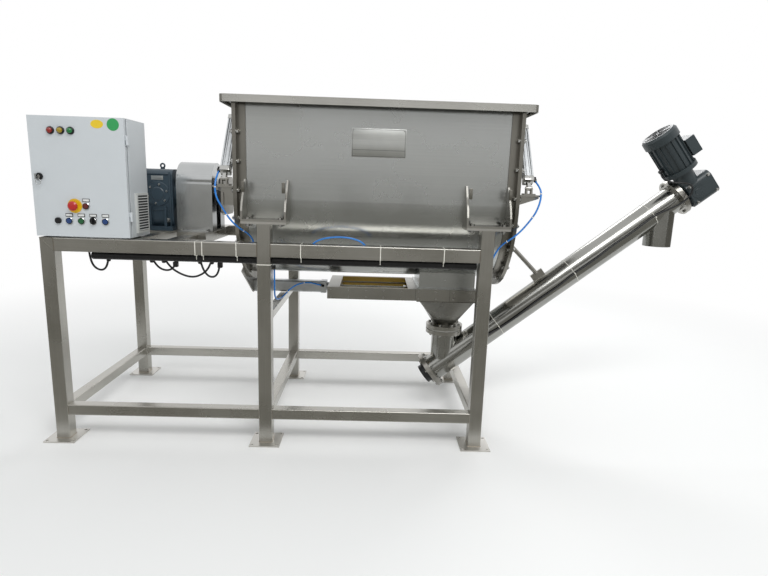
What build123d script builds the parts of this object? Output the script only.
"""Ribbon blender on a tube frame: trough with a double ribbon agitator, split lid with two
air cylinders, slide gate below, inclined screw discharge and a control cabinet.

Millimetres. Origin on the floor below the middle of the machine, +X from the drive end to the
discharge spout, +Y away from the operator's side, +Z up. The trough's centre plane is Y = 0.
"""

import os
from math import atan2, cos, hypot, pi, radians, sin, sqrt, tan

from build123d import *

os.makedirs("parts", exist_ok=True)

# ---- Frame -------------------------------------------------------------------------------
TUBE = 60.0
TUBE_WALL = 3.0
LOW_TUBE = 50.0
GATE_TUBE = 40.0
FRAME_TOP = 940.0
LOW_RAIL_TOP = 168.0
GATE_TUBE_Z = 610.0
LEG_Y = 441.5
LEG_OFFSET = 491.0
DRIVE_BAY = 935.0
FOOT_SIZE = 140.0
FOOT_THICK = 6.0
FOOT_HOLE_R = 7.0
FOOT_HOLE_SPACING = 115.0

# ---- Trough ------------------------------------------------------------------------------
TROUGH_X = -114.0
TROUGH_LENGTH = 1262.0
SHAFT_Z = 1128.0
TROUGH_R = 375.0
SHEET = 3.0
END_THICK = 10.0
FLANGE_WIDTH = 40.0
ANGLE_THICK = 6.0
ANGLE_LEG = 34.0
WALL_TOP = 1546.0
RIM_THICK = 6.0
RIM_END_LAP = 25.0
GASKET_WIDTH = 18.0
GASKET_HEIGHT = 7.0

# ---- Cradles -----------------------------------------------------------------------------
CRADLE_LENGTH = 196.0
PAD_THICK = 10.0
EAR_THICK = 8.0
EAR_TOP = 1214.0
CRADLE_FRONT = 471.5
CRADLE_BOLT_X = 140.0
CRADLE_BOLT_Y = 56.0
CRADLE_BOLT_R = 6.75

# ---- Lid ---------------------------------------------------------------------------------
LID_OVERHANG = 49.0
LID_HALF_DEPTH = 446.5
LID_SKIRT = 31.0
LID_CORNER = 28.0
LID_GAP = 6.0
LID_LIP = 24.0
BEAM_WIDTH = 40.0
BEAM_HEIGHT = 28.0
BEAM_DROP = 18.0
KNUCKLE_R = 7.0
HINGE_PIN_R = 4.0
HINGE_LENGTH = 90.0
HINGE_COUNT = 4
LEAF_THICK = 3.0
LEAF_REACH = 38.0
RUNNING = 0.05

# ---- Lid cylinders -----------------------------------------------------------------------
LIFT_OFFSET = 42.0
LIFT_BASE_Y = -396.5
LIFT_RISE = 306.0
LIFT_ROD_Y = -186.5
LIFT_DROP = 28.0
LIFT_BODY = 45.0
LIFT_BODY_LENGTH = 311.0
LIFT_NECK = 31.0
LIFT_CAP = 25.0
LIFT_BORE_R = 16.0
LIFT_ROD_R = 6.0
LIFT_PIN_R = 5.0
LUG_R = 11.0
LUG_THICK = 8.0
EYE_THICK = 16.0
SHELF_DROP = 28.0
SHELF_THICK = 8.0
SHELF_REACH = 88.0
SHELF_WIDTH = 52.0
SIDE_PLAY = 0.3

# ---- Agitator ----------------------------------------------------------------------------
SHAFT_R = 30.0
OUTER_TIP_GAP = 7.0
OUTER_RIBBON = 50.0
OUTER_ARC = 5.0
INNER_RIBBON_R = 150.0
INNER_RIBBON = 40.0
INNER_ARC = 9.0
ARM_R = 14.0
ARM_COUNT = 7
ARM_END_GAP = 51.0

# ---- Drive -------------------------------------------------------------------------------
LANTERN_LENGTH = 144.0
LANTERN_SHORT = 64.0
LANTERN_PLATE = 12.0
LANTERN_SIZE = 190.0
BEARING_THICK = 28.0
BEARING_R = 62.0
SEAL_R = 62.0
SEAL_LENGTH = 34.0
GUARD_GAP = 12.0
GUARD_LENGTH = 175.0
GUARD_R = 108.0
GUARD_ARCH_Z = 1181.0
GUARD_SHEET = 3.0
GUARD_PLATE_LENGTH = 141.0
COUPLING_R = 62.0
COUPLING_HALF = 50.0
SPIDER = 10.0
GEAR_GAP = 20.0
GEAR_LENGTH = 146.0
GEAR_WIDTH = 200.0
GEAR_TOP = 1250.0
OUTPUT_R = 27.5
MOTOR_R = 108.0
MOTOR_LENGTH = 270.0
MOTOR_FLANGE_R = 124.0
MOTOR_BOX = (60.0, 170.0)
MOTOR_BOX_HALF = 55.0
MOTOR_BOX_RISE = 45.0
DRIVE_PLATE = 10.0

# ---- Outlet, gate ------------------------------------------------------------------------
OUTLET_OFFSET = 366.0
CHUTE_LENGTH = 282.0
CHUTE_WIDTH = 301.0
CHUTE_WALL = 4.0
GATE_TOP = 698.0
GATE_HEIGHT = 60.0
GATE_WIDTH = 343.0
GATE_PLATE = 8.0
GATE_LENGTH = 749.0
BLADE_THICK = 8.0
BLADE_GAP = 0.5
BLADE_LAP = 48.0
LINER_DEPTH = 16.0
GATE_BODY = 64.0
GATE_BORE_R = 25.0
GATE_ROD_R = 10.0
GATE_CAP = 30.0
GATE_NOSE = 16.0
PISTON = 25.0
SADDLE_THICK = 6.0
SADDLE_CORNER_Y = 277.5
SADDLE_DROP = 347.0
SADDLE_FOOT_Y = 41.5

# ---- Hopper, screw -----------------------------------------------------------------------
HOPPER_TOP_X = 284.0
HOPPER_TOP_Y = 300.0
HOPPER_SHIFT = 5.0
NECK_SHIFT = 18.0
NECK_R = 64.5
NECK_TOP = 488.0
NECK_FLANGE_TOP = 482.0
NECK_FLANGE = 20.0
NECK_SEAL = 7.0
NECK_FLANGE_R = 97.0
SCREW_ANGLE = 38.3
SCREW_INLET_Z = 267.0
SCREW_BACK = 78.0
SCREW_LENGTH = 1570.0
SCREW_TUBE_R = 69.85
SCREW_FLANGE_R = 99.0
SCREW_FLANGE = 12.0
SCREW_TIP_GAP = 4.0
SCREW_CORE_R = 21.0
SCREW_PITCH = 120.0
SCREW_ARC = 16.0
SPOUT_R = 68.0
SPOUT_BACK = 85.0
SPOUT_Z = 935.0
WORM_OFFSET = 63.0
WORM_AT = 50.0
WORM_BODY = 138.0
SCREW_MOTOR_R = 80.0
SCREW_MOTOR_FLANGE_AT = 130.0
SCREW_MOTOR_LENGTH = 215.0
TERMINAL_NECK = 70.0
TERMINAL_CENTRE = 45.0
STRUT_R = 11.0
STRUT_HIGH_Z = 997.0
STRUT_ALONG = 765.0
STRUT_STAND = 26.0
STRUT_PAD = 35.0
STRUT_PAD_HALF = 30.0
STRUT_PLATE = 8.0
STRUT_FOOT = 70.0

# ---- Cabinet -----------------------------------------------------------------------------
CABINET_X = -1576.0
CABINET_WIDTH = 400.0
CABINET_DEPTH = 200.0
CABINET_HEIGHT = 500.0
CABINET_FOOT = 6.0
CABINET_SHEET = 2.0
DOOR_DEPTH = 19.0
DOOR_GAP = 1.0
DOOR_TRIM = 3.0
DOOR_HINGE_OUT = 4.0
DOOR_HINGE_IN = 10.0
DOOR_KNUCKLE_R = 6.0
DOOR_PIN_R = 3.0
BUTTON_R = 10.5
BUTTON_RING_R = 14.5
BUTTON_TRAVEL = 4.0
ESTOP_PLATE_R = 30.0
ESTOP_HEAD_R = 20.0
ESTOP_TRAVEL = 5.0

# ---- Worked out --------------------------------------------------------------------------
LEG_DRIVE = TROUGH_X - LEG_OFFSET - DRIVE_BAY
LEG_MIDDLE = TROUGH_X - LEG_OFFSET
LEG_OUTLET = TROUGH_X + LEG_OFFSET
LEG_TOP = SHAFT_Z - 104.0
PAD_TOP = LEG_TOP + PAD_THICK
RAIL_INNER_Y = LEG_Y - TUBE / 2
END_LEFT = TROUGH_X - TROUGH_LENGTH / 2
END_RIGHT = TROUGH_X + TROUGH_LENGTH / 2
WALL_R = TROUGH_R + SHEET
FLANGE_R = WALL_R + FLANGE_WIDTH
RIM_TOP = WALL_TOP + RIM_THICK
BEAM_TOP = WALL_TOP - BEAM_DROP
LIFT_ROD_Z = WALL_TOP - LIFT_DROP
LIFT_BASE_Z = LIFT_ROD_Z - LIFT_RISE
SHELF_TOP = LIFT_BASE_Z - SHELF_DROP
LID_UNDER = RIM_TOP + GASKET_HEIGHT
LID_TOP = LID_UNDER + SHEET
LID_LEFT = END_LEFT - LID_OVERHANG
LID_RIGHT = END_RIGHT + LID_OVERHANG
HINGE_Z = LID_TOP + KNUCKLE_R
LIFT_LEAN = atan2(LIFT_ROD_Y - LIFT_BASE_Y, LIFT_ROD_Z - LIFT_BASE_Z)
LIFT_PINS = hypot(LIFT_ROD_Y - LIFT_BASE_Y, LIFT_ROD_Z - LIFT_BASE_Z)
LIFT_XS = {"left": END_LEFT - LIFT_OFFSET, "right": END_RIGHT + LIFT_OFFSET}
OUTLET_X = TROUGH_X + OUTLET_OFFSET
GATE_RIGHT = OUTLET_X + CHUTE_LENGTH / 2 + 6.0
GATE_LEFT = GATE_RIGHT - GATE_LENGTH
GATE_BOTTOM = GATE_TOP - GATE_HEIGHT
GATE_Z = (GATE_TOP + GATE_BOTTOM) / 2
INLET_X = OUTLET_X + NECK_SHIFT
ANGLE = radians(SCREW_ANGLE)
SCREW_X = INLET_X - SCREW_BACK * cos(ANGLE)
SCREW_Z = SCREW_INLET_Z - SCREW_BACK * sin(ANGLE)
CABINET_RIGHT = CABINET_X + CABINET_WIDTH
CABINET_FRONT = -LEG_Y - TUBE / 2
CABINET_BACK = CABINET_FRONT + CABINET_DEPTH
CABINET_BOTTOM = FRAME_TOP + CABINET_FOOT
CABINET_TOP = CABINET_BOTTOM + CABINET_HEIGHT

nodes = {}


# ---- Shapes used all over ----------------------------------------------------------------
def block(x, y, z):
    """Cuboid from three (low, high) pairs."""
    size = (x[1] - x[0], y[1] - y[0], z[1] - z[0])
    middle = ((x[0] + x[1]) / 2, (y[0] + y[1]) / 2, (z[0] + z[1]) / 2)
    return Pos(*middle) * Box(*size)


def bar(start, end, radius):
    """Round bar between two points."""
    start, end = Vector(*start), Vector(*end)
    place = Plane(origin=start, z_dir=end - start)
    return place * Cylinder(radius, (end - start).length, align=(Align.CENTER, Align.CENTER, Align.MIN))


def ring(start, end, outer, inner):
    """Round tube between two points."""
    return bar(start, end, outer) - bar(start, end, inner)


def square_tube(start, end, width, wall):
    """Square hollow section with rounded outer corners."""
    start, end = Vector(*start), Vector(*end)
    across = Vector(1, 0, 0) if abs((end - start).X) < 1.0 else Vector(0, 1, 0)
    place = Plane(origin=start, x_dir=across, z_dir=end - start)
    profile = RectangleRounded(width, width, 1.5 * wall) - Rectangle(width - 2 * wall, width - 2 * wall)
    return extrude(place * profile, (end - start).length)


def along_x(face, x0, x1):
    """Extrude a face drawn in (y, z) from x0 to x1."""
    return extrude(Plane.YZ.offset(x0) * face, x1 - x0)


def along_y(face, y0, y1):
    """Extrude a face drawn in (x, z) from y0 to y1."""
    place = Plane(origin=(0, y1, 0), x_dir=(1, 0, 0), z_dir=(0, -1, 0))
    return extrude(place * face, y1 - y0)


def outline(*points):
    return make_face(Polyline(*points, close=True))


def u_face(radius, top):
    """U of the trough: half circle about the shaft, straight walls up to top."""
    walls = Polyline((radius, SHAFT_Z), (radius, top), (-radius, top), (-radius, SHAFT_Z))
    bottom = ThreePointArc((-radius, SHAFT_Z), (0, SHAFT_Z - radius), (radius, SHAFT_Z))
    return make_face(walls + bottom)


def mirrored(shape):
    """Front piece to the rear."""
    return mirror(shape, about=Plane.XZ)


def add(name, *shapes):
    nodes[name] = list(shapes)


# ---- Frame -------------------------------------------------------------------------------
def legs():
    shapes = []
    for x, top in ((LEG_DRIVE, FRAME_TOP), (LEG_MIDDLE, LEG_TOP), (LEG_OUTLET, LEG_TOP)):
        for y in (-LEG_Y, LEG_Y):
            shapes.append(square_tube((x, y, FOOT_THICK), (x, y, top), TUBE, TUBE_WALL))
    return shapes


def foot_plates():
    shapes = []
    for x in (LEG_DRIVE, LEG_MIDDLE, LEG_OUTLET):
        for y in (-LEG_Y, LEG_Y):
            holes = GridLocations(FOOT_HOLE_SPACING, FOOT_HOLE_SPACING, 2, 2) * Circle(FOOT_HOLE_R)
            shapes.append(Pos(x, y, 0) * extrude(Rectangle(FOOT_SIZE, FOOT_SIZE) - holes, FOOT_THICK))
    return shapes


def rails(width, z, crossed):
    """Lengthwise rails between the legs and crosswise rails at the legs in crossed."""
    shapes = []
    bays = ((LEG_DRIVE, LEG_MIDDLE), (LEG_MIDDLE, LEG_OUTLET))
    for y in (-LEG_Y, LEG_Y):
        for x0, x1 in bays:
            shapes.append(square_tube((x0 + TUBE / 2, y, z), (x1 - TUBE / 2, y, z), width, TUBE_WALL))
    for x in crossed:
        shapes.append(square_tube((x, -RAIL_INNER_Y, z), (x, RAIL_INNER_Y, z), width, TUBE_WALL))
    return shapes


def gate_rail():
    """Crosswise rail between the middle legs, below the gate's cylinder."""
    x = LEG_MIDDLE + (TUBE - GATE_TUBE) / 2
    return square_tube((x, -RAIL_INNER_Y, GATE_TUBE_Z), (x, RAIL_INNER_Y, GATE_TUBE_Z), GATE_TUBE, TUBE_WALL)


add("legs", *legs())
add("upper_rails", *rails(TUBE, FRAME_TOP - TUBE / 2, [LEG_DRIVE]))
add("lower_rails", *rails(LOW_TUBE, LOW_RAIL_TOP - LOW_TUBE / 2, [LEG_DRIVE, LEG_MIDDLE, LEG_OUTLET]), gate_rail())

# Drive stations, from the trough outwards
BEARING_OUT = END_LEFT - LANTERN_LENGTH - BEARING_THICK
GUARD_RIGHT = BEARING_OUT - GUARD_GAP
GUARD_LEFT = GUARD_RIGHT - GUARD_LENGTH
GUARD_MIDDLE = (GUARD_LEFT + GUARD_RIGHT) / 2
GEAR_RIGHT = GUARD_LEFT - GEAR_GAP
GEAR_LEFT = GEAR_RIGHT - GEAR_LENGTH
DRIVE_TOP = FRAME_TOP + DRIVE_PLATE


def drive_base():
    """Gear unit plate and guard plate, each on its own cross tube."""
    gear_x = (GEAR_LEFT + GEAR_RIGHT) / 2
    shapes = []
    for x in (gear_x, GUARD_MIDDLE):
        z = FRAME_TOP - TUBE / 2
        shapes.append(square_tube((x, -RAIL_INNER_Y, z), (x, RAIL_INNER_Y, z), TUBE, TUBE_WALL))
    gear_plate = block((GEAR_LEFT - 8, GEAR_RIGHT + 8), (-140, 140), (FRAME_TOP, DRIVE_TOP))
    half = GUARD_PLATE_LENGTH / 2
    guard_plate = block((GUARD_MIDDLE - half, GUARD_MIDDLE + half), (-171, 171), (FRAME_TOP, DRIVE_TOP))
    lip = block((GUARD_MIDDLE - half, GUARD_MIDDLE + half), (-171, -165), (FRAME_TOP - 25, FRAME_TOP))
    lips = lip + mirrored(lip)
    coped = lips - block((GUARD_MIDDLE - TUBE / 2, GUARD_MIDDLE + TUBE / 2), (-200, 200), (0, FRAME_TOP))
    return shapes + [gear_plate, guard_plate + coped]


add("drive_base", *drive_base())


# ---- Trough ------------------------------------------------------------------------------
CHUTE_X = (OUTLET_X - CHUTE_LENGTH / 2, OUTLET_X + CHUTE_LENGTH / 2)
CHUTE_Y = (-CHUTE_WIDTH / 2, CHUTE_WIDTH / 2)
MOUTH_X = (CHUTE_X[0] + CHUTE_WALL, CHUTE_X[1] - CHUTE_WALL)
MOUTH_Y = (CHUTE_Y[0] + CHUTE_WALL, CHUTE_Y[1] - CHUTE_WALL)
INNER_LEFT = END_LEFT + END_THICK
INNER_RIGHT = END_RIGHT - END_THICK


def trough_shell():
    shell = along_x(u_face(WALL_R, WALL_TOP) - u_face(TROUGH_R, WALL_TOP + 1), INNER_LEFT, INNER_RIGHT)
    return shell - block(MOUTH_X, MOUTH_Y, (SHAFT_Z - WALL_R - 5, SHAFT_Z))


def end_plate(x0, x1):
    plate = along_x(u_face(FLANGE_R, WALL_TOP), x0, x1)
    return plate - bar((x0 - 1, 0, SHAFT_Z), (x1 + 1, 0, SHAFT_Z), SHAFT_R + 2)


def end_ring(x, outward):
    """Angle bent round the shell: standing leg on the end plate, lying leg on the shell."""
    standing = along_x(u_face(FLANGE_R, WALL_TOP) - u_face(WALL_R, WALL_TOP + 1), 0, ANGLE_THICK)
    lying = along_x(u_face(WALL_R + ANGLE_THICK, WALL_TOP) - u_face(WALL_R, WALL_TOP + 1),
                    ANGLE_THICK, ANGLE_THICK + ANGLE_LEG)
    angle = standing + lying
    return Pos(x, 0, 0) * (mirror(angle, about=Plane.YZ) if outward < 0 else angle)


def butted_frame(inner_x, inner_y, outer_x, outer_y, z):
    """Four strips round a rectangle, the long ones between the short ones."""
    strips = [block(x, (-outer_y, outer_y), z) for x in ((outer_x[0], inner_x[0]), (inner_x[1], outer_x[1]))]
    return strips + [block(inner_x, y, z) for y in ((-outer_y, -inner_y), (inner_y, outer_y))]


def rim():
    outer = (END_LEFT - RIM_END_LAP, END_RIGHT + RIM_END_LAP)
    return butted_frame((INNER_LEFT, INNER_RIGHT), TROUGH_R, outer, FLANGE_R, (WALL_TOP, RIM_TOP))


def rim_gasket():
    outer_x = (INNER_LEFT - GASKET_WIDTH, INNER_RIGHT + GASKET_WIDTH)
    return butted_frame((INNER_LEFT, INNER_RIGHT), WALL_R, outer_x, WALL_R + GASKET_WIDTH, (RIM_TOP, LID_UNDER))


add("trough_shell", trough_shell())
add("end_plates", end_plate(END_LEFT, INNER_LEFT), end_plate(INNER_RIGHT, END_RIGHT))
add("end_rings", end_ring(INNER_LEFT, 1), end_ring(INNER_RIGHT, -1))


def outlet_chute():
    """Square duct from the shell down to the gate, with a welded collar at its foot."""
    reach = (GATE_TOP, SHAFT_Z - WALL_R + 60)
    duct = block(CHUTE_X, CHUTE_Y, reach)
    lap = 12.0
    collar = block((CHUTE_X[0] - lap, CHUTE_X[1] + 6), (CHUTE_Y[0] - lap, CHUTE_Y[1] + lap),
                   (GATE_TOP, GATE_TOP + 6))
    hollow = block(MOUTH_X, MOUTH_Y, (GATE_TOP - 1, SHAFT_Z))
    return duct + collar - hollow - bar((CHUTE_X[0] - 99, 0, SHAFT_Z), (CHUTE_X[1] + 99, 0, SHAFT_Z), WALL_R)


add("outlet_chute", outlet_chute())


def cradle(leg_x, y_sign):
    """Pad bolted on the leg's top plate, with two ears up the trough wall."""
    half = CRADLE_LENGTH / 2
    spans = (leg_x - half, leg_x + half)
    trough = along_x(u_face(WALL_R, WALL_TOP), spans[0] - 1, spans[1] + 1)
    ringed = along_x(u_face(WALL_R + ANGLE_THICK, WALL_TOP), INNER_LEFT,
                     INNER_LEFT + ANGLE_THICK + ANGLE_LEG)
    ringed += along_x(u_face(WALL_R + ANGLE_THICK, WALL_TOP),
                      INNER_RIGHT - ANGLE_THICK - ANGLE_LEG, INNER_RIGHT)
    bolt_y = -CRADLE_FRONT + 50
    holes = [Pos(leg_x + dx, bolt_y + dy, LEG_TOP) * Cylinder(CRADLE_BOLT_R, 80)
             for dx in (-CRADLE_BOLT_X / 2, CRADLE_BOLT_X / 2) for dy in (-CRADLE_BOLT_Y / 2, CRADLE_BOLT_Y / 2)]
    front = -CRADLE_FRONT
    back = -sqrt(WALL_R ** 2 - (SHAFT_Z - PAD_TOP - PAD_THICK) ** 2) + 4
    leg_plate = block(spans, (front, back - 6), (LEG_TOP, PAD_TOP))
    pad = block(spans, (front, back), (PAD_TOP, PAD_TOP + PAD_THICK))
    side = outline((front, PAD_TOP + PAD_THICK), (-WALL_R + 30, PAD_TOP + PAD_THICK), (-WALL_R + 30, EAR_TOP),
                   (-WALL_R - 14, EAR_TOP), (front + 12, PAD_TOP + 80), (front, PAD_TOP + 45))
    ears = [along_x(side, x, x + EAR_THICK) for x in (spans[0], spans[1] - EAR_THICK)]
    upper = pad + ears[0] + ears[1] - trough - ringed
    lower = leg_plate - trough - ringed
    for hole in holes:
        upper -= hole
        lower -= hole
    shapes = [upper, lower]
    return shapes if y_sign < 0 else [mirrored(shape) for shape in shapes]


cradle_shapes = []
for leg_x in (LEG_MIDDLE, LEG_OUTLET):
    for y_sign in (-1, 1):
        cradle_shapes += cradle(leg_x, y_sign)
add("cradles", *cradle_shapes[0::2])
add("leg_plates", *foot_plates(), *cradle_shapes[1::2])


def cradle_bolts():
    """Hexagon bolts with nuts through pad and leg plate."""
    shapes = []
    for leg_x in (LEG_MIDDLE, LEG_OUTLET):
        for side in (-1, 1):
            for dx in (-CRADLE_BOLT_X / 2, CRADLE_BOLT_X / 2):
                for dy in (-CRADLE_BOLT_Y / 2, CRADLE_BOLT_Y / 2):
                    y = side * (CRADLE_FRONT - 50 + dy)
                    head = Pos(leg_x + dx, y, PAD_TOP + PAD_THICK) * extrude(RegularPolygon(10.5, 6), 8)
                    shank = Pos(leg_x + dx, y, LEG_TOP - 14) * extrude(Circle(6), PAD_TOP + PAD_THICK - LEG_TOP + 14)
                    nut = Pos(leg_x + dx, y, LEG_TOP - 10) * extrude(RegularPolygon(10.5, 6), 10)
                    shapes.append(head + shank + nut)
    return shapes


add("cradle_bolts", *cradle_bolts())


# ---- Shaft bearings and seals ------------------------------------------------------------
def lantern(length):
    """Flange, two webs and bearing plate, drawn to the left of x = 0."""
    flange = ring((-LANTERN_PLATE, 0, SHAFT_Z), (0, 0, SHAFT_Z), LANTERN_SIZE / 2, SEAL_R + 0.5)
    plate = Pos(-length, 0, SHAFT_Z) * (Plane.YZ * RectangleRounded(LANTERN_SIZE, LANTERN_SIZE, 20))
    plate = extrude(plate, LANTERN_PLATE) - bar((-length - 1, 0, SHAFT_Z), (0, 0, SHAFT_Z), SHAFT_R + 5)
    body = flange + plate
    for y in (-LANTERN_SIZE / 2 + 8, LANTERN_SIZE / 2 - 20):
        web = block((-length + LANTERN_PLATE, -LANTERN_PLATE), (y, y + 12), (SHAFT_Z - 45, SHAFT_Z + 45))
        body += web
    return body


def bearing(at):
    """Square flanged bearing unit with a round nose, drawn to the left of x = at."""
    base = extrude(Pos(at, 0, SHAFT_Z) * (Plane.YZ * RectangleRounded(170, 170, 25)), -14)
    nose = bar((at - BEARING_THICK, 0, SHAFT_Z), (at, 0, SHAFT_Z), BEARING_R)
    return base + nose - bar((at - 99, 0, SHAFT_Z), (at + 9, 0, SHAFT_Z), SHAFT_R + RUNNING)


def seal():
    """Stuffing box with its gland, drawn to the left of x = 0."""
    box = bar((-SEAL_LENGTH, 0, SHAFT_Z), (0, 0, SHAFT_Z), SEAL_R)
    gland = bar((-SEAL_LENGTH - 8, 0, SHAFT_Z), (-SEAL_LENGTH, 0, SHAFT_Z), SEAL_R - 12)
    return box + gland - bar((-99, 0, SHAFT_Z), (9, 0, SHAFT_Z), SHAFT_R + 0.5)


def at_right_end(shape):
    """Left-end piece, drawn from x = 0, turned to the trough's right end."""
    return Pos(END_RIGHT, 0, 0) * mirror(shape, about=Plane.YZ)


add("lanterns", Pos(END_LEFT, 0, 0) * lantern(LANTERN_LENGTH), at_right_end(lantern(LANTERN_SHORT)),
    Pos(END_LEFT, 0, 0) * seal(), at_right_end(seal()))


# ---- Agitator ----------------------------------------------------------------------------
ARM_SPAN = TROUGH_LENGTH - 2 * ARM_END_GAP
ARM_STEP = ARM_SPAN / (ARM_COUNT - 1)
RIBBON_PITCH = 4 * ARM_STEP
OUTER_R = TROUGH_R - OUTER_TIP_GAP
COUPLING_X = (GUARD_LEFT + GUARD_RIGHT) / 2


def sector(inner, outer, degrees_wide):
    """Piece of an annulus about the origin, centred on the first axis."""
    half = radians(degrees_wide / 2)
    low = Vector(cos(half), -sin(half))
    high = Vector(cos(half), sin(half))
    edges = ThreePointArc(low * outer, (outer, 0), high * outer)
    edges += Line(high * outer, high * inner)
    edges += ThreePointArc(high * inner, (inner, 0), low * inner)
    edges += Line(low * inner, low * outer)
    return make_face(edges)


def helix(face, place, length, turn):
    """Extrude a face along the place's normal while it turns about it."""
    section = place * face
    return Solid.extrude_linear_with_rotation(section.face(), place.origin, place.z_dir * length, turn)


def ribbon(inner, outer, width_degrees, hand, start_degrees):
    lap = 15.0
    x0 = TROUGH_X - ARM_SPAN / 2 - lap
    length = ARM_SPAN + 2 * lap
    turn = hand * 360 * length / RIBBON_PITCH
    phase = start_degrees - hand * 360 * lap / RIBBON_PITCH
    place = Plane(origin=(x0, 0, SHAFT_Z), x_dir=(0, 1, 0), z_dir=(1, 0, 0))
    return helix(Rot(0, 0, phase) * sector(inner, outer, width_degrees), place, length, turn)


def arms():
    """Straight arms through the shaft, each cut where shaft and inner ribbon stand."""
    shapes = []
    inner_outer = INNER_RIBBON_R + INNER_RIBBON
    spans = ((SHAFT_R, INNER_RIBBON_R), (inner_outer, OUTER_R - OUTER_RIBBON))
    for index in range(ARM_COUNT):
        x = TROUGH_X - ARM_SPAN / 2 + index * ARM_STEP
        for low, high in spans:
            shell = ring((x - 30, 0, SHAFT_Z), (x + 30, 0, SHAFT_Z), high, low)
            for side in (0, 180):
                a = radians(90 * index + side)
                end = (x, (high + 9) * cos(a), SHAFT_Z + (high + 9) * sin(a))
                shapes.append(bar((x, 0, SHAFT_Z), end, ARM_R) & shell)
    return shapes


def main_shaft():
    start, end = COUPLING_X + 1, END_RIGHT + LANTERN_SHORT + BEARING_THICK + 4
    return bar((start, 0, SHAFT_Z), (end, 0, SHAFT_Z), SHAFT_R)


def output_shaft():
    return bar((GEAR_RIGHT - 30, 0, SHAFT_Z), (COUPLING_X - 1, 0, SHAFT_Z), OUTPUT_R)


def coupling_hub(x, side, bore):
    inner, outer = x + side * SPIDER / 2, x + side * (SPIDER / 2 + COUPLING_HALF)
    rim_end = x + side * (SPIDER / 2 + COUPLING_HALF / 2)
    hub = bar((inner, 0, SHAFT_Z), (rim_end, 0, SHAFT_Z), COUPLING_R)
    hub += bar((rim_end, 0, SHAFT_Z), (outer, 0, SHAFT_Z), COUPLING_R - 14)
    return hub - bar((inner - 200, 0, SHAFT_Z), (inner + 200, 0, SHAFT_Z), bore)


add("main_shaft", main_shaft(), output_shaft())
add("arms", *arms())
add("outer_ribbons", *[ribbon(OUTER_R - OUTER_RIBBON, OUTER_R, OUTER_ARC, 1, a) for a in (0, 180)])
add("inner_ribbons", *[ribbon(INNER_RIBBON_R, INNER_RIBBON_R + INNER_RIBBON, INNER_ARC, -1, a)
                       for a in (0, 180)])
spider = ring((COUPLING_X - SPIDER / 2, 0, SHAFT_Z), (COUPLING_X + SPIDER / 2, 0, SHAFT_Z),
              COUPLING_R - 4, SHAFT_R)
add("coupling", coupling_hub(COUPLING_X, -1, OUTPUT_R), coupling_hub(COUPLING_X, 1, SHAFT_R), spider)


# ---- Drive -------------------------------------------------------------------------------
def coupling_guard():
    """Sheet arch over the coupling with end walls slotted for the shafts and two foot flanges."""
    def arch(radius, low):
        sides = Polyline((radius, GUARD_ARCH_Z), (radius, low), (-radius, low), (-radius, GUARD_ARCH_Z))
        crown = ThreePointArc((-radius, GUARD_ARCH_Z), (0, GUARD_ARCH_Z + radius), (radius, GUARD_ARCH_Z))
        return make_face(sides + crown)

    inner = GUARD_R - GUARD_SHEET
    body = along_x(arch(GUARD_R, DRIVE_TOP), GUARD_LEFT, GUARD_RIGHT)
    body -= along_x(arch(inner, DRIVE_TOP - 1), GUARD_LEFT + GUARD_SHEET, GUARD_RIGHT - GUARD_SHEET)
    slot = block((GUARD_LEFT - 1, GUARD_RIGHT + 1), (-SHAFT_R - 6, SHAFT_R + 6), (DRIVE_TOP - 1, SHAFT_Z))
    body -= slot + bar((GUARD_LEFT - 1, 0, SHAFT_Z), (GUARD_RIGHT + 1, 0, SHAFT_Z), SHAFT_R + 6)
    half = GUARD_PLATE_LENGTH / 2
    foot = block((GUARD_MIDDLE - half, GUARD_MIDDLE + half), (GUARD_R, GUARD_R + 22), (DRIVE_TOP, DRIVE_TOP + 5))
    return body + foot + mirrored(foot)


def gear_unit():
    """Foot-mounted helical gear unit: rounded casing, feet, round output and motor flanges."""
    half = GEAR_WIDTH / 2
    casing = RectangleRounded(GEAR_WIDTH, GEAR_TOP - DRIVE_TOP - 14, 42)
    body = along_x(Pos(0, (GEAR_TOP + DRIVE_TOP + 14) / 2) * casing, GEAR_LEFT, GEAR_RIGHT)
    body += block((GEAR_LEFT, GEAR_RIGHT), (-half - 22, half + 22), (DRIVE_TOP, DRIVE_TOP + 20))
    for x in (GEAR_LEFT + 30, GEAR_RIGHT - 42):
        body += block((x, x + 12), (-half - 14, half + 14), (DRIVE_TOP + 20, SHAFT_Z - 60))
    body += bar((GEAR_RIGHT, 0, SHAFT_Z), (GEAR_RIGHT + 12, 0, SHAFT_Z), 78)
    body += bar((GEAR_LEFT - 20, 0, SHAFT_Z), (GEAR_LEFT, 0, SHAFT_Z), 118)
    return body - bar((GEAR_RIGHT - 30, 0, SHAFT_Z), (GEAR_RIGHT + 20, 0, SHAFT_Z), OUTPUT_R + RUNNING)


def drive_motor():
    """Foot-less flange motor: round body with cooling fins, terminal box and fan cowl."""
    front = GEAR_LEFT - 20
    flange = bar((front - 14, 0, SHAFT_Z), (front, 0, SHAFT_Z), MOTOR_FLANGE_R)
    back = front - MOTOR_LENGTH + 55
    finned = Circle(MOTOR_R - 12) + PolarLocations(MOTOR_R - 12, 20) * Rectangle(22, 4)
    body = along_x(Pos(0, SHAFT_Z) * finned, back, front - 14)
    cowl = bar((front - MOTOR_LENGTH, 0, SHAFT_Z), (back, 0, SHAFT_Z), MOTOR_R)
    box = block((front - MOTOR_BOX[1], front - MOTOR_BOX[0]), (-MOTOR_BOX_HALF, MOTOR_BOX_HALF),
                (SHAFT_Z + MOTOR_R - 20, SHAFT_Z + MOTOR_R + MOTOR_BOX_RISE))
    return flange + body + cowl + box


add("coupling_guard", coupling_guard())
add("gear_unit", gear_unit())
add("drive_motor", drive_motor())


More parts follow.
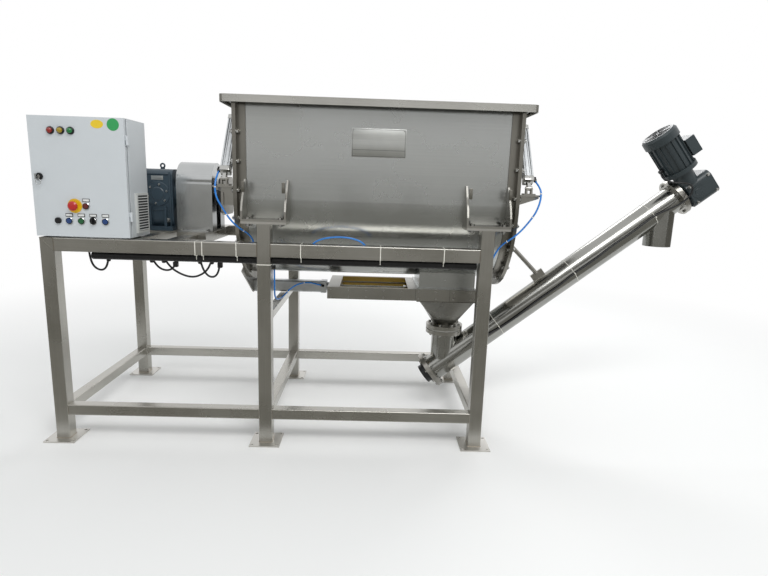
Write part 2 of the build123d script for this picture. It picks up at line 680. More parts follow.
# ---- Lid ---------------------------------------------------------------------------------
def lid_tray():
    """Whole cover as one folded tray, cut in two by the callers."""
    length, depth = LID_RIGHT - LID_LEFT, 2 * LID_HALF_DEPTH
    centre = (LID_LEFT + LID_RIGHT) / 2
    outer = extrude(RectangleRounded(length, depth, LID_CORNER), -LID_SKIRT)
    inner = extrude(RectangleRounded(length - 2 * SHEET, depth - 2 * SHEET, LID_CORNER - SHEET), -LID_SKIRT)
    return Pos(centre, 0, LID_TOP) * (outer - Pos(0, 0, -SHEET) * inner)


def lid_half(side):
    edge = side * LID_GAP / 2
    far = side * (LID_HALF_DEPTH + 9)
    half = lid_tray() & block((LID_LEFT - 9, LID_RIGHT + 9), tuple(sorted((edge, far))),
                              (LID_TOP - LID_SKIRT - 9, LID_TOP + 9))
    lip_y = tuple(sorted((edge, edge + side * SHEET)))
    lip = block((INNER_LEFT + 12, INNER_RIGHT - 12), lip_y, (LID_UNDER - LID_LIP, LID_UNDER))
    return half + lip


def hinge_xs():
    span = TROUGH_LENGTH - 160.0
    return [TROUGH_X - span / 2 + index * span / (HINGE_COUNT - 1) for index in range(HINGE_COUNT)]


def hinge_parts(x):
    """Fixed leaf with two knuckles and the pin, moving leaf with one knuckle."""
    third = HINGE_LENGTH / 3
    low, high = x - HINGE_LENGTH / 2, x + HINGE_LENGTH / 2
    middle = (x - third / 2 + SIDE_PLAY, x + third / 2 - SIDE_PLAY)
    clear = KNUCKLE_R + 1.5
    leaf_z = (LID_TOP, LID_TOP + LEAF_THICK)

    def knuckle(x0, x1):
        return bar((x0, 0, HINGE_Z), (x1, 0, HINGE_Z), KNUCKLE_R)

    pin_hole = bar((low - 1, 0, HINGE_Z), (high + 1, 0, HINGE_Z), HINGE_PIN_R)
    loose_hole = bar((low - 1, 0, HINGE_Z), (high + 1, 0, HINGE_Z), HINGE_PIN_R + RUNNING)
    fixed = block((low, high), (clear, LEAF_REACH), leaf_z)
    for x0, x1 in ((low, x - third / 2), (x + third / 2, high)):
        fixed += knuckle(x0, x1) + block((x0, x1), (0, clear), leaf_z)
    moving = block((low, high), (-LEAF_REACH, -clear), leaf_z)
    moving += knuckle(*middle) + block(middle, (-clear, 0), leaf_z)
    pin = bar((low - 2, 0, HINGE_Z), (high + 2, 0, HINGE_Z), HINGE_PIN_R)
    return fixed - pin_hole + pin, moving - loose_hole


add("rear_cover", lid_half(1))
add("front_lid", lid_half(-1))
hinges = [hinge_parts(x) for x in hinge_xs()]
add("cover_hinge_leaves", *[pair[0] for pair in hinges])


def centre_beam():
    """Gutter below the split, open upwards, welded between the end plates."""
    z = (BEAM_TOP - BEAM_HEIGHT, BEAM_TOP)
    beam = block((INNER_LEFT, INNER_RIGHT), (-BEAM_WIDTH / 2, BEAM_WIDTH / 2), z)
    return beam - block((INNER_LEFT - 1, INNER_RIGHT + 1), (-BEAM_WIDTH / 2 + SHEET, BEAM_WIDTH / 2 - SHEET),
                        (z[0] + SHEET, z[1] + 1))


add("rim", *rim(), centre_beam())


# ---- Lid cylinders -----------------------------------------------------------------------
def lug(x):
    """Plate under the lid with the hole for the fork's pin."""
    pin = (LIFT_ROD_Y, LIFT_ROD_Z)
    plate = outline((pin[0] - 32, LID_UNDER), (pin[0] + 32, LID_UNDER), (pin[0] + LUG_R, pin[1]),
                    (pin[0] - LUG_R, pin[1])) + Pos(*pin) * Circle(LUG_R)
    plate -= Pos(*pin) * Circle(LIFT_PIN_R + RUNNING)
    return along_x(plate, x - LUG_THICK / 2, x + LUG_THICK / 2)


def shelf(x, side):
    """Shelf on the end plate, gusset below, two cheeks with the pin's outer stubs."""
    end = END_LEFT if side < 0 else END_RIGHT
    far = end + side * SHELF_REACH
    y = (LIFT_BASE_Y - SHELF_WIDTH / 2, LIFT_BASE_Y + SHELF_WIDTH / 2)
    plate = block(tuple(sorted((end, far))), y, (SHELF_TOP - SHELF_THICK, SHELF_TOP))
    under = SHELF_TOP - SHELF_THICK
    gusset = along_y(outline((end, under), (far, under), (far, under - 8), (end, under - 38)),
                     LIFT_BASE_Y - 4, LIFT_BASE_Y + 4)
    body = plate + gusset
    body += block((x - 25, x + 25), (LIFT_BASE_Y - 24, LIFT_BASE_Y + 24), (SHELF_TOP, SHELF_TOP + 6))
    cheek_r = 10.0
    cheek = outline((LIFT_BASE_Y - 14, SHELF_TOP + 6), (LIFT_BASE_Y + 14, SHELF_TOP + 6),
                    (LIFT_BASE_Y + cheek_r, LIFT_BASE_Z), (LIFT_BASE_Y - cheek_r, LIFT_BASE_Z))
    cheek += Pos(LIFT_BASE_Y, LIFT_BASE_Z) * Circle(cheek_r)
    inner = EYE_THICK / 2 + SIDE_PLAY
    for low, high in ((x - inner - 6, x - inner), (x + inner, x + inner + 6)):
        body += along_x(cheek, low, high)
    body += bar((x - inner - 9, LIFT_BASE_Y, LIFT_BASE_Z), (x - inner - 6, LIFT_BASE_Y, LIFT_BASE_Z), LIFT_PIN_R)
    body += bar((x + inner + 6, LIFT_BASE_Y, LIFT_BASE_Z), (x + inner + 9, LIFT_BASE_Y, LIFT_BASE_Z), LIFT_PIN_R)
    return body


def lift_place(x):
    """Cylinder frame: origin on the base pivot, z up the rod."""
    return Plane(origin=(x, LIFT_BASE_Y, LIFT_BASE_Z), x_dir=(1, 0, 0), z_dir=(0, sin(LIFT_LEAN), cos(LIFT_LEAN)))


def lift_barrel(x):
    """Square profile barrel with caps, bored for the piston, and the base eye on its lower cap."""
    body = Pos(0, 0, LIFT_NECK) * extrude(RectangleRounded(LIFT_BODY, LIFT_BODY, 6), LIFT_BODY_LENGTH)
    waist = Pos(0, 0, LIFT_NECK + LIFT_CAP) * extrude(
        RectangleRounded(LIFT_BODY + 2, LIFT_BODY + 2, 6) - RectangleRounded(LIFT_BODY - 4, LIFT_BODY - 4, 5),
        LIFT_BODY_LENGTH - 2 * LIFT_CAP)
    bore = Pos(0, 0, LIFT_NECK + LIFT_CAP) * extrude(Circle(LIFT_BORE_R), LIFT_BODY_LENGTH - 2 * LIFT_CAP)
    rod_hole = Pos(0, 0, LIFT_NECK + LIFT_CAP) * extrude(Circle(LIFT_ROD_R + RUNNING), LIFT_BODY_LENGTH)
    eye_face = Rectangle(20, LIFT_NECK, align=(Align.CENTER, Align.MIN)) + Circle(10)
    eye = extrude(Plane(origin=(-EYE_THICK / 2, 0, 0), x_dir=(0, 1, 0), z_dir=(1, 0, 0)) * eye_face, EYE_THICK)
    place = lift_place(x)
    return place * (body - waist - bore - rod_hole), place * eye


def lift_rod(x):
    """Piston, rod and the fork round the lid's lug."""
    piston_at = LIFT_NECK + LIFT_CAP + 2
    piston = Pos(0, 0, piston_at) * extrude(Circle(LIFT_BORE_R - RUNNING), 20)
    fork_base = LIFT_PINS - 22
    rod = Pos(0, 0, piston_at) * extrude(Circle(LIFT_ROD_R), fork_base - piston_at)
    gap = LUG_THICK / 2 + SIDE_PLAY
    side = Rectangle(2 * LUG_R, 22, align=(Align.CENTER, Align.MAX)) + Circle(LUG_R)
    fork = extrude(Plane(origin=(-12, 0, LIFT_PINS), x_dir=(0, 1, 0), z_dir=(1, 0, 0)) * side, 24)
    fork -= Pos(0, 0, LIFT_PINS + 4) * Box(2 * gap, 60, 38)
    pin = bar((-14, 0, LIFT_PINS), (14, 0, LIFT_PINS), LIFT_PIN_R)
    return lift_place(x) * (piston + rod + fork + pin)


add("lid_brackets", *[pair[1] for pair in hinges], *[lug(x) for x in LIFT_XS.values()])
add("lift_shelves", shelf(LIFT_XS["left"], -1), shelf(LIFT_XS["right"], 1))
for side_name, lift_x in LIFT_XS.items():
    add(f"lift_barrel_{side_name}", *lift_barrel(lift_x))
    add(f"lift_rod_{side_name}", lift_rod(lift_x))


# ---- Slide gate --------------------------------------------------------------------------
GATE_SIDE = GATE_WIDTH / 2
PLATE_IN = GATE_SIDE - GATE_PLATE
COVER_LEFT = MOUTH_X[0] - 59.0
SLOT = BLADE_THICK / 2 + BLADE_GAP
BOX_RIGHT = GATE_LEFT + 61.0
BLADE_X = (MOUTH_X[0] - BLADE_LAP, MOUTH_X[1] + 2)


def gate_frame():
    """Side plates, apertured covers, closed right end and the box for the cylinder."""
    shapes = []
    for y in ((-GATE_SIDE, -PLATE_IN), (PLATE_IN, GATE_SIDE)):
        shapes.append(block((GATE_LEFT, GATE_RIGHT), y, (GATE_BOTTOM, GATE_TOP)))
    for z in ((GATE_TOP - GATE_PLATE, GATE_TOP), (GATE_BOTTOM, GATE_BOTTOM + GATE_PLATE)):
        cover = block((COVER_LEFT, GATE_RIGHT), (-PLATE_IN, PLATE_IN), z)
        shapes.append(cover - block(MOUTH_X, MOUTH_Y, (z[0] - 1, z[1] + 1)))
    inner_z = (GATE_BOTTOM + GATE_PLATE, GATE_TOP - GATE_PLATE)
    shapes.append(block((BLADE_X[1] + 1, GATE_RIGHT), (-PLATE_IN, PLATE_IN), inner_z))
    box = block((GATE_LEFT, BOX_RIGHT), (-PLATE_IN, PLATE_IN), (GATE_BOTTOM, GATE_TOP))
    box -= block((GATE_LEFT + GATE_PLATE, BOX_RIGHT - GATE_PLATE), (-PLATE_IN - 1, PLATE_IN + 1),
                 (GATE_BOTTOM - 1, GATE_TOP - GATE_PLATE))
    shapes.append(box - bar((GATE_LEFT - 1, 0, GATE_Z), (BOX_RIGHT + 1, 0, GATE_Z), GATE_ROD_R + 3))
    return shapes


def gate_liners():
    """Strips above and below the blade's slot, thinner where the covers are."""
    end = BLADE_X[1] + 1
    side = outline((BOX_RIGHT, GATE_Z + SLOT), (end, GATE_Z + SLOT), (end, GATE_TOP - GATE_PLATE),
                   (COVER_LEFT, GATE_TOP - GATE_PLATE), (COVER_LEFT, GATE_TOP - 1), (BOX_RIGHT, GATE_TOP - 1))
    upper = along_y(side, -PLATE_IN, -PLATE_IN + LINER_DEPTH)
    lower = mirror(upper, about=Plane.XY.offset(GATE_Z))
    return [upper, lower, mirrored(upper), mirrored(lower)]


def gate_blade():
    plate = block(BLADE_X, (-PLATE_IN + 1, PLATE_IN - 1), (GATE_Z - BLADE_THICK / 2, GATE_Z + BLADE_THICK / 2))
    knob = block((BLADE_X[0] - 26, BLADE_X[0]), (-20, 20), (GATE_Z - 13, GATE_Z + 13))
    return plate + knob


CYL_LEFT = END_LEFT
CYL_RIGHT = GATE_LEFT - GATE_NOSE
ROD_END = BLADE_X[0] - 26


def gate_cylinder():
    """Profile barrel with square caps, bored for piston and rod, nose ring to the gate."""
    barrel = Plane.YZ.offset(CYL_LEFT + GATE_CAP) * (Pos(0, GATE_Z) * RectangleRounded(GATE_BODY - 5, GATE_BODY - 5, 10))
    body = extrude(barrel, CYL_RIGHT - CYL_LEFT - 2 * GATE_CAP)
    for x in (CYL_LEFT, CYL_RIGHT - GATE_CAP):
        cap = Plane.YZ.offset(x) * (Pos(0, GATE_Z) * RectangleRounded(GATE_BODY, GATE_BODY, 6))
        body += extrude(cap, GATE_CAP)
    body += bar((CYL_RIGHT, 0, GATE_Z), (GATE_LEFT, 0, GATE_Z), GATE_ROD_R + 12)
    body -= bar((CYL_LEFT + GATE_CAP, 0, GATE_Z), (CYL_RIGHT - GATE_CAP, 0, GATE_Z), GATE_BORE_R)
    return body - bar((CYL_RIGHT - GATE_CAP - 1, 0, GATE_Z), (GATE_LEFT + 1, 0, GATE_Z), GATE_ROD_R + RUNNING)


def gate_rod():
    piston_right = CYL_RIGHT - GATE_CAP - 2
    piston = bar((piston_right - PISTON, 0, GATE_Z), (piston_right, 0, GATE_Z), GATE_BORE_R - RUNNING)
    return piston + bar((piston_right, 0, GATE_Z), (ROD_END, 0, GATE_Z), GATE_ROD_R)


def saddle_plate():
    """Tapered plate on the left end plate that carries the cylinder's rear cap."""
    weld_r = WALL_R + 7
    lap_y = 0.56 * weld_r
    lap_z = SHAFT_Z - sqrt(weld_r ** 2 - lap_y ** 2)
    corner_y, corner_z = SADDLE_CORNER_Y, SHAFT_Z - SADDLE_DROP
    low_y, low_z = SADDLE_FOOT_Y, GATE_Z - GATE_BODY / 2 - 1
    edges = Polyline((-lap_y, lap_z), (-corner_y, corner_z), (-low_y, low_z), (low_y, low_z),
                     (corner_y, corner_z), (lap_y, lap_z))
    edges += ThreePointArc((lap_y, lap_z), (0, SHAFT_Z - weld_r), (-lap_y, lap_z))
    return along_x(make_face(edges), END_LEFT - SADDLE_THICK, END_LEFT)


add("gate_frame", *gate_frame())
add("gate_liners", *gate_liners())
add("gate_blade", gate_blade(), gate_rod())
add("gate_cylinder", gate_cylinder())
add("saddle_plate", saddle_plate())


# ---- Hopper ------------------------------------------------------------------------------
def hopper():
    """Square-to-round transition with a top flange and a short neck."""
    top_x = OUTLET_X + HOPPER_SHIFT
    top_z = GATE_BOTTOM - 6.0

    def cone(shrink, low, high):
        top = Plane.XY.offset(high) * (Pos(top_x, 0) * RectangleRounded(
            HOPPER_TOP_X - 2 * shrink, HOPPER_TOP_Y - 2 * shrink, 8))
        foot = Plane.XY.offset(low) * (Pos(INLET_X, 0) * Circle(NECK_R - shrink))
        return loft([top.face(), foot.face()])

    flange = block((top_x - HOPPER_TOP_X / 2 - 14, GATE_RIGHT), (-HOPPER_TOP_Y / 2 - 14, HOPPER_TOP_Y / 2 + 14),
                   (top_z, GATE_BOTTOM))
    flange -= block((top_x - HOPPER_TOP_X / 2 + SHEET, top_x + HOPPER_TOP_X / 2 - SHEET),
                    (-HOPPER_TOP_Y / 2 + SHEET, HOPPER_TOP_Y / 2 - SHEET), (top_z - 1, GATE_BOTTOM + 1))
    walls = cone(0, NECK_TOP, top_z) - cone(SHEET, NECK_TOP, top_z)
    neck = ring((INLET_X, 0, NECK_FLANGE_TOP), (INLET_X, 0, NECK_TOP), NECK_R, NECK_R - SHEET)
    return [walls + neck, flange]


add("hopper", *hopper())
flange_low = NECK_FLANGE_TOP - NECK_FLANGE
seal_low = flange_low - NECK_SEAL
INLET_TOP = seal_low - NECK_FLANGE
bore = NECK_R - SHEET
neck_flanges = [ring((INLET_X, 0, flange_low), (INLET_X, 0, NECK_FLANGE_TOP), NECK_FLANGE_R, bore),
                ring((INLET_X, 0, INLET_TOP), (INLET_X, 0, seal_low), NECK_FLANGE_R, bore)]
neck_seal = ring((INLET_X, 0, seal_low), (INLET_X, 0, flange_low), NECK_FLANGE_R - 8, bore)
add("gaskets", *rim_gasket(), neck_seal)


# ---- Screw conveyor ----------------------------------------------------------------------
SCREW_PLACE = Plane(origin=(SCREW_X, 0, SCREW_Z), x_dir=(0, 1, 0), z_dir=(cos(ANGLE), 0, sin(ANGLE)))
SPOUT_ALONG = SCREW_LENGTH - SPOUT_BACK
SPOUT_X = SCREW_X + SPOUT_ALONG * cos(ANGLE)
SPOUT_AXIS_Z = SCREW_Z + SPOUT_ALONG * sin(ANGLE)


def on_screw(shape):
    """Place a shape drawn with z along the conveyor."""
    return SCREW_PLACE * shape


def disc(low, high, radius):
    return Pos(0, 0, low) * extrude(Circle(radius), high - low)


def screw_tube():
    """Inclined tube, the inlet pipe welded to its foot and the spout to its head."""
    bore_r = SCREW_TUBE_R - SHEET
    outside = on_screw(disc(0, SCREW_LENGTH, SCREW_TUBE_R))
    inlet_hole = bar((INLET_X, 0, SCREW_INLET_Z), (INLET_X, 0, INLET_TOP + 1), NECK_R - SHEET)
    spout_hole = bar((SPOUT_X, 0, SPOUT_Z - 1), (SPOUT_X, 0, SPOUT_AXIS_Z), SPOUT_R - SHEET)
    inlet = bar((INLET_X, 0, SCREW_INLET_Z), (INLET_X, 0, INLET_TOP), NECK_R) - inlet_hole - outside
    spout = bar((SPOUT_X, 0, SPOUT_Z), (SPOUT_X, 0, SPOUT_AXIS_Z), SPOUT_R) - spout_hole - outside
    return outside - on_screw(disc(-1, SCREW_LENGTH + 1, bore_r)) - inlet_hole - spout_hole, inlet, spout


def screw_flanges():
    foot = disc(-SCREW_FLANGE, 0, SCREW_FLANGE_R) - disc(-99, 9, SCREW_CORE_R + 1)
    foot_collar = disc(0, SCREW_FLANGE, SCREW_FLANGE_R) - disc(-1, 99, SCREW_TUBE_R)
    head = Pos(0, 0, SCREW_LENGTH + SCREW_FLANGE) * foot
    head_collar = Pos(0, 0, SCREW_LENGTH - SCREW_FLANGE) * foot_collar
    return [on_screw(shape) for shape in (foot, foot_collar, head, head_collar)]


def screw():
    """Core with one right-hand flight, journals in the foot bearing and the gearbox."""
    core = disc(-SCREW_FLANGE - 30, SCREW_LENGTH + SCREW_FLANGE + WORM_AT + 40, SCREW_CORE_R)
    start, end = 12.0, SCREW_LENGTH - 12.0
    face = sector(SCREW_CORE_R, SCREW_TUBE_R - SHEET - SCREW_TIP_GAP, SCREW_ARC)
    place = Plane(origin=(0, 0, start), x_dir=(1, 0, 0), z_dir=(0, 0, 1))
    flight = helix(face, place, end - start, 360 * (end - start) / SCREW_PITCH)
    return [on_screw(core), on_screw(flight)]


def foot_bearing():
    body = disc(-SCREW_FLANGE - 36, -SCREW_FLANGE, 52) + disc(-SCREW_FLANGE - 14, -SCREW_FLANGE, 66)
    return on_screw(body - disc(-SCREW_FLANGE - 30, 0, SCREW_CORE_R + RUNNING))


WORM_Z = SCREW_LENGTH + SCREW_FLANGE + WORM_AT
MOTOR_PLACE = Plane(origin=(-WORM_OFFSET, 0, WORM_Z), x_dir=(0, 0, 1), z_dir=(0, 1, 0))


def worm_gearbox():
    """Worm casing on the conveyor's head flange, motor neck standing square to the tube."""
    top = SCREW_LENGTH + SCREW_FLANGE
    casing_low, casing_high = top + 8, top + 8 + WORM_BODY
    casing = Pos(0, 0, casing_low) * extrude(
        Pos(-WORM_OFFSET / 2, -8) * RectangleRounded(WORM_OFFSET + 96, 128, 30), WORM_BODY)
    hub = disc(top, casing_low, 50) + disc(casing_high, casing_high + 8, 44)
    neck = MOTOR_PLACE * disc(40, SCREW_MOTOR_FLANGE_AT - 12, 50)
    plate = MOTOR_PLACE * disc(SCREW_MOTOR_FLANGE_AT - 12, SCREW_MOTOR_FLANGE_AT, SCREW_MOTOR_R + 4)
    body = casing + hub + neck + plate - disc(top - 1, WORM_Z + 41, SCREW_CORE_R + RUNNING)
    return on_screw(body)


def screw_motor():
    """Flange motor with finned body and fan cowl."""
    low = SCREW_MOTOR_FLANGE_AT
    high = low + SCREW_MOTOR_LENGTH
    flange = disc(low, low + 10, SCREW_MOTOR_R + 4)
    finned = Circle(SCREW_MOTOR_R - 8) + PolarLocations(SCREW_MOTOR_R - 8, 16) * Rectangle(14, 3)
    body = Pos(0, 0, low + 10) * extrude(finned, SCREW_MOTOR_LENGTH - 58)
    cowl = revolve(Plane.XZ * outline((0, high - 48), (SCREW_MOTOR_R + 6, high - 48),
                                      (SCREW_MOTOR_R + 6, high - 12), (SCREW_MOTOR_R - 4, high), (0, high)), Axis.Z)
    return on_screw(MOTOR_PLACE * (flange + body + cowl))


def terminal_box():
    """Box on the motor's upper side, away from the trough."""
    low = SCREW_MOTOR_FLANGE_AT + 28
    middle = low + TERMINAL_CENTRE
    box = Pos(SCREW_MOTOR_R + 17, 0, middle) * Box(50, 92, 2 * TERMINAL_CENTRE)
    neck = Pos(SCREW_MOTOR_R - 9, 0, middle) * Box(14, TERMINAL_NECK, TERMINAL_NECK)
    neck -= disc(0, SCREW_MOTOR_FLANGE_AT + SCREW_MOTOR_LENGTH, SCREW_MOTOR_R)
    return on_screw(MOTOR_PLACE * (box + neck))


def strut():
    """Round stay from the trough's end plate to a saddle on the tube."""
    saddle_low = SCREW_PLACE.from_local_coords((0, SCREW_TUBE_R + STRUT_STAND, STRUT_ALONG))
    high = Vector(END_RIGHT, 0, STRUT_HIGH_Z)
    plate = (END_RIGHT, END_RIGHT + STRUT_PLATE)
    rod = bar(high, saddle_low, STRUT_R)
    rod -= block((END_RIGHT - STRUT_PAD, plate[1]), (-STRUT_PAD, STRUT_PAD),
                 (STRUT_HIGH_Z - 2 * STRUT_PAD, STRUT_HIGH_Z + 2 * STRUT_PAD))
    pad = block(plate, (-STRUT_PAD_HALF, STRUT_PAD_HALF), (STRUT_HIGH_Z - STRUT_PAD, STRUT_HIGH_Z + STRUT_PAD))
    foot = Pos(0, SCREW_TUBE_R + STRUT_STAND / 2, STRUT_ALONG) * Box(12, STRUT_STAND + 20, STRUT_FOOT)
    foot -= disc(0, SCREW_LENGTH, SCREW_TUBE_R)
    return rod + pad + on_screw(foot)


add("screw_tube", *screw_tube())
add("screw_flanges", *screw_flanges(), *neck_flanges)
add("screw", *screw())
add("bearings", Pos(END_LEFT, 0, 0) * bearing(-LANTERN_LENGTH), at_right_end(bearing(-LANTERN_SHORT)),
    foot_bearing())
add("worm_gearbox", worm_gearbox())
add("screw_motor", screw_motor(), terminal_box())
add("strut", strut())


# ---- Cabinet -----------------------------------------------------------------------------
def cabinet_body():
    """Folded sheet box, open to the door, on four feet."""
    x, z = (CABINET_X, CABINET_RIGHT), (CABINET_BOTTOM, CABINET_TOP)
    front = CABINET_FRONT + DOOR_DEPTH + DOOR_GAP
    t = CABINET_SHEET
    shell = block(x, (front, CABINET_BACK), z)
    shell -= block((x[0] + t, x[1] - t), (front - 1, CABINET_BACK - t), (z[0] + t, z[1] - t))
    for foot_x in (x[0] + 40, x[1] - 40):
        for foot_y in (CABINET_FRONT + 40, CABINET_BACK - 40):
            shell += block((foot_x - 12, foot_x + 12), (foot_y - 12, foot_y + 12), (FRAME_TOP, CABINET_BOTTOM))
    return shell


def cabinet_door():
    """Tray door, sheet thick, trimmed at the hinge side."""
    t = CABINET_SHEET
    x, z = (CABINET_X, CABINET_RIGHT - DOOR_TRIM), (CABINET_BOTTOM, CABINET_TOP)
    y = (CABINET_FRONT, CABINET_FRONT + DOOR_DEPTH)
    return block(x, y, z) - block((x[0] + t, x[1] - t), (y[0] + t, y[1] + 1), (z[0] + t, z[1] - t))


DOOR_AXIS = (CABINET_RIGHT + DOOR_HINGE_OUT, CABINET_FRONT + DOOR_HINGE_IN)


def door_hinges():
    """Lift-off hinges: lower half with the pin on the body, upper half on the door."""
    fixed, moving = [], []
    for z in (CABINET_BOTTOM + 70, CABINET_TOP - 110):
        lower = Pos(*DOOR_AXIS, z) * extrude(Circle(DOOR_KNUCKLE_R), 20)
        lower += Pos(*DOOR_AXIS, z) * extrude(Circle(DOOR_PIN_R), 36)
        front = CABINET_FRONT + DOOR_DEPTH + DOOR_GAP
        lower += block((CABINET_RIGHT, CABINET_RIGHT + 3), (DOOR_AXIS[1], front + 18), (z, z + 20))
        fixed.append(lower)
        upper = Pos(*DOOR_AXIS, z + 20 + SIDE_PLAY) * extrude(Circle(DOOR_KNUCKLE_R), 20)
        upper += block((CABINET_RIGHT - DOOR_TRIM, DOOR_AXIS[0]), (DOOR_AXIS[1] - 4, DOOR_AXIS[1] + 2),
                       (z + 20 + SIDE_PLAY, z + 40 + SIDE_PLAY))
        upper -= Pos(*DOOR_AXIS, z) * extrude(Circle(DOOR_PIN_R + RUNNING), 38)
        moving.append(upper)
    return fixed, moving


def on_door(x, z, shape):
    """Place a shape drawn on XY, z outwards, on the door's front."""
    place = Plane(origin=(CABINET_X + x, CABINET_FRONT, CABINET_BOTTOM + z), x_dir=(1, 0, 0), z_dir=(0, -1, 0))
    return place * shape


BUTTON_ROW = 68.0
BUTTONS = {"blue_left": 145.0, "green": 196.0, "blue_right": 298.0}
STOP_BUTTON = (220.0, 132.0)
SELECTOR = (246.0, 71.0)
PLUG = (98.0, BUTTON_ROW)
ESTOP = (172.0, 132.0)
LOCK = (33.0, 251.0)
LAMPS = ((94.0, 441.0), (136.0, 442.0), (177.0, 442.0))


def button_ring():
    """Bezel with a well for the button."""
    return disc(0, 5, BUTTON_RING_R) - disc(0.4, 9, BUTTON_R + 0.4)


def button():
    return disc(0.5 + BUTTON_TRAVEL, 4.5 + BUTTON_TRAVEL, BUTTON_R)


def lamp():
    """Pilot light: stepped bezel and domed lens."""
    half = [(0, 0), (16, 0), (16, 5), (13, 7), (13, 13), (9, 17), (0, 18)]
    return revolve(Plane.XZ * outline(*half), Axis.Z)


def estop_plate():
    return disc(0, 3, ESTOP_PLATE_R) + disc(3, 9, 15) - disc(0.4, 10, 8.3)


def estop_head():
    """Mushroom head over its collar."""
    low = 9 + ESTOP_TRAVEL + 0.5
    half = [(0, low), (ESTOP_HEAD_R - 3, low), (ESTOP_HEAD_R, low + 3), (ESTOP_HEAD_R, low + 8),
            (ESTOP_HEAD_R - 6, low + 13), (0, low + 14)]
    return revolve(Plane.XZ * outline(*half), Axis.Z) + disc(1 + ESTOP_TRAVEL, low, 8)


def selector():
    """Round base with a raised grip."""
    return disc(5.3, 11, 12) + Pos(0, 0, 14) * Box(7, 25, 12)


def key():
    """Key standing in its cylinder."""
    return disc(6.2, 9, 7) + Pos(0, 0, 12) * Box(2.2, 8, 8) + Pos(0, 0, 24) * Box(2.2, 24, 20)


fixed_hinges, moving_hinges = door_hinges()
rings = [on_door(x, BUTTON_ROW, button_ring()) for x in BUTTONS.values()]
add("cabinet_body", cabinet_body(), *fixed_hinges)
add("cabinet_door", cabinet_door(), *moving_hinges)
add("door_fittings", *rings, on_door(*STOP_BUTTON, button_ring()), on_door(*SELECTOR, disc(0, 5, BUTTON_RING_R)),
    on_door(*LOCK, disc(0, 6, 15)), on_door(*PLUG, disc(0, 8, 13)))
add("estop_plate", on_door(*ESTOP, estop_plate()))
add("pilot_lights", *[on_door(x, z, lamp()) for x, z in LAMPS])
for colour, button_x in BUTTONS.items():
    add(f"button_{colour}", on_door(button_x, BUTTON_ROW, button()))
add("button_stop", on_door(*STOP_BUTTON, button()))
add("estop_head", on_door(*ESTOP, estop_head()))
add("selector", on_door(*SELECTOR, selector()))
add("door_key", on_door(*LOCK, key()))


def vent_cover():
    """Louvred cover on the cabinet's right side: two columns of slots in a shallow tray."""
    x = (CABINET_RIGHT, CABINET_RIGHT + 10)
    y = (CABINET_FRONT + 60, CABINET_FRONT + 180)
    z = (CABINET_BOTTOM + 16, CABINET_BOTTOM + 191)
    t = CABINET_SHEET
    tray = block(x, y, z) - block((x[0] - 1, x[1] - t), (y[0] + t, y[1] - t), (z[0] + t, z[1] - t))
    count = 11
    for column_y in (y[0] + 12, y[0] + 64):
        for row in range(count):
            low = z[0] + 32 + row * 11.5
            tray -= block((x[1] - t - 1, x[1] + 1), (column_y, column_y + 44), (low, low + 6))
    return tray


add("vent_cover", vent_cover())


# ---- Hoses and cables --------------------------------------------------------------------
HOSE = 8.0
CABLE = 9.0
CONDUIT_R = 17.5

# Routes are lists of points chosen by hand; the motor's cable starts in the conveyor's frame
LEFT_HOSE = [(-815, -372, 1250), (-819, -426, 1212), (-819, -436, 1140), (-787, -434, 1084),
             (-756, -430, 1034), (-723, -416, 1000), (-687, -396, 975), (-663, -396, 945), (-655, -407.5, 905)]
RIGHT_HOSE = [(587, -372, 1250), (607, -420, 1215), (605, -436, 1165), (589, -436, 1110), (561, -434, 1066),
              (525, -434, 1021), (489, -428, 988), (459, -408, 964), (435, -402, 932), (417, -400, 890),
              (393, -407.4, 852)]
GATE_HOSE = [(-571, -402, 830), (-573, -388, 740), (-579, -350, 672), (-573, -280, 650), (-559, -210, 655),
             (-537, -150, 680), (-499, -102, 698), (-455, -72, 700), (-415, -54, 688), (-384, -36, 676)]
RAIL_HOSE = [(-421, -407.4, 895), (-403, -406.5, 938), (-357, -407, 962), (-291, -410, 973), (-227, -410, 970),
             (-175, -407, 953), (-145, -406, 915), (-139, -407.4, 880)]
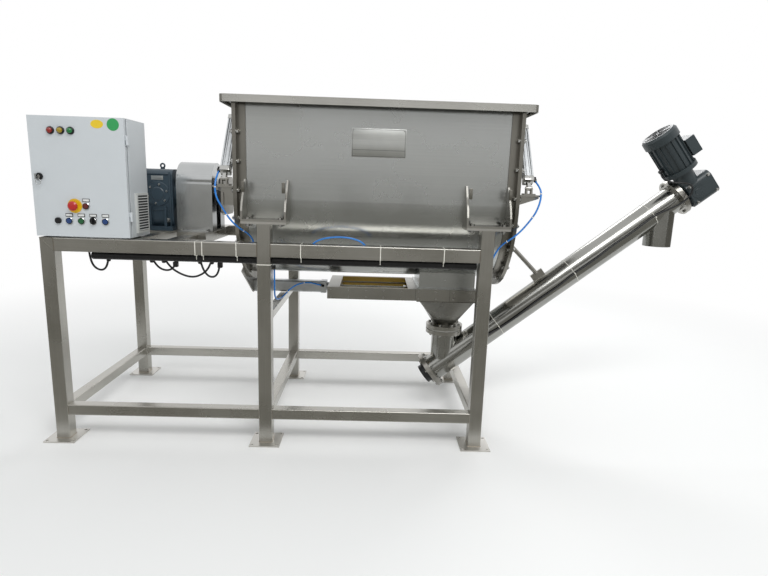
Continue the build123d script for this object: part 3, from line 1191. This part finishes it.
# The lead on the conveyor: aside, above, and along as a share of the tube's length.
TUBE_CABLE = [(-63, 175, 0.98739), (-92, 158, 0.96943), (-126, 116, 0.97962), (-142, 84, 1.00764),
              (-138, 48, 1.02675), (-130, 12, 1.01656), (-114, -8, 0.98408), (-90, -2, 0.93949),
              (-79, 12, 0.89299), (-78, 4, 0.80892), (-76, 8, 0.73248), (-78, 0, 0.65924), (-76, 4, 0.58280),
              (-78, -6, 0.50955), (-76, -2, 0.43312), (-78, -10, 0.35669), (-76, -8, 0.27834)]
LEG_CABLE = [(491, -82, 446), (457, -112, 424), (429, -186, 405), (407, -280, 420), (393, -364, 470),
             (387, -402, 548), (385, -407, 640), (387, -407, 740), (385, -407, 835)]
LOOPS = [[(-1114, -414, 858), (-1103, -406, 826), (-1075, -402, 800), (-1039, -402, 798), (-1013, -406, 822),
          (-1005, -414, 858)],
         [(-900, -414, 858), (-893, -408, 812), (-867, -404, 774), (-835, -404, 774), (-815, -408, 812),
          (-811, -414, 858)],
         [(-1061, -414, 858), (-1041, -404, 816), (-997, -396, 782), (-941, -394, 766), (-891, -398, 786),
          (-859, -406, 822), (-847, -414, 858)],
         [(-1400, -400, 930), (-1397, -400, 860), (-1383, -400, 806), (-1345, -400, 786), (-1315, -404, 812),
          (-1305, -414, 858)]]


def cord(points, diameter):
    """Round tube along straight runs joined by the largest arcs that the runs allow."""
    points = [Vector(*point) for point in points]
    radii = []
    for before, corner, after in zip(points, points[1:], points[2:]):
        turn = (corner - before).get_angle(after - corner)
        shorter = min((corner - before).length, (after - corner).length)
        radii.append(0.45 * shorter / tan(radians(turn / 2)))
    path = FilletPolyline(*points, radius=radii)
    tube = sweep(Plane(origin=path @ 0, z_dir=path % 0) * Circle(diameter / 2), path=path)
    expected = pi * diameter ** 2 / 4 * path.length
    print("cord", round(min(radii) / diameter, 1), "diameters,", round(tube.volume / expected, 4), "of its volume")
    return tube


def conduit():
    """Flexible conduit under the front upper rail, one run on each side of the middle leg."""
    y, z = -LEG_Y + 6.0, FRAME_TOP - TUBE - CONDUIT_R
    runs = ((LEG_DRIVE + 178.0, LEG_MIDDLE - TUBE / 2), (LEG_MIDDLE + TUBE / 2, LEG_OUTLET - TUBE / 2 - 8.0))
    return [bar((x0, y, z), (x1, y, z), CONDUIT_R) for x0, x1 in runs]


on_tube = [tuple(SCREW_PLACE.from_local_coords((aside, above, share * SCREW_LENGTH)))
           for aside, above, share in TUBE_CABLE]
add("air_hoses", *[cord(points, HOSE) for points in (LEFT_HOSE, RIGHT_HOSE, GATE_HOSE, RAIL_HOSE)])
add("cables", cord(on_tube + LEG_CABLE, CABLE), *[cord(points, CABLE) for points in LOOPS], *conduit())

# ---- Write -------------------------------------------------------------------------------
for name, shapes in nodes.items():
    solids = [solid for shape in shapes for solid in shape.solids()]
    export_step(Compound(label=name, children=solids), f"parts/{name}.step")
    print(name, len(solids), round(sum(solid.volume for solid in solids) / 1000), "cm3")
